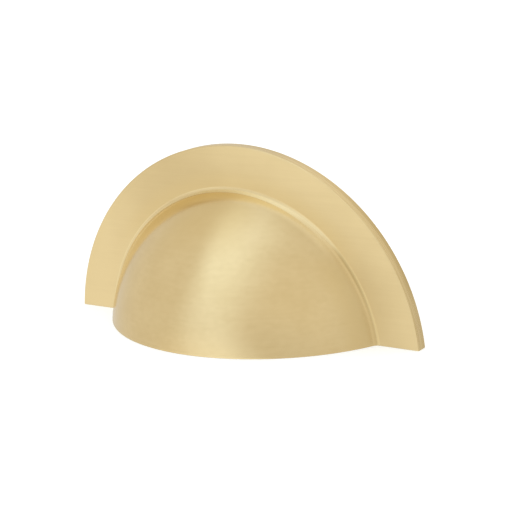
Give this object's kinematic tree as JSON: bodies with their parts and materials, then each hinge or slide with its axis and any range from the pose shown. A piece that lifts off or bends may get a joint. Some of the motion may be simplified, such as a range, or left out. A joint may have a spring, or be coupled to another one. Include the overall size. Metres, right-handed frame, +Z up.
{
  "type": "cup pull",
  "caption": "Half-moon cup pull for a drawer: a flat half-round plate with a hollow domed finger cup, open below and behind, cast in one piece of satin brass.",
  "frame": {"origin": "middle of the flat lower edge that the pull stands on, centred across its width and halfway from the plate's back to the front of the cup", "axes": "+X across the width, to the right as seen from the front; +Y out of the plate's back, into the drawer front; the cup faces -Y; +Z up"},
  "size_m": [0.09, 0.0252, 0.041],
  "materials": {
    "brass": "satin brass, finely brushed across the width on the plate and the cup, as cast inside the cup"
  },
  "bodies": {
    "root": {"cup_pull_body": "brass"}
  },
  "joints": []
}
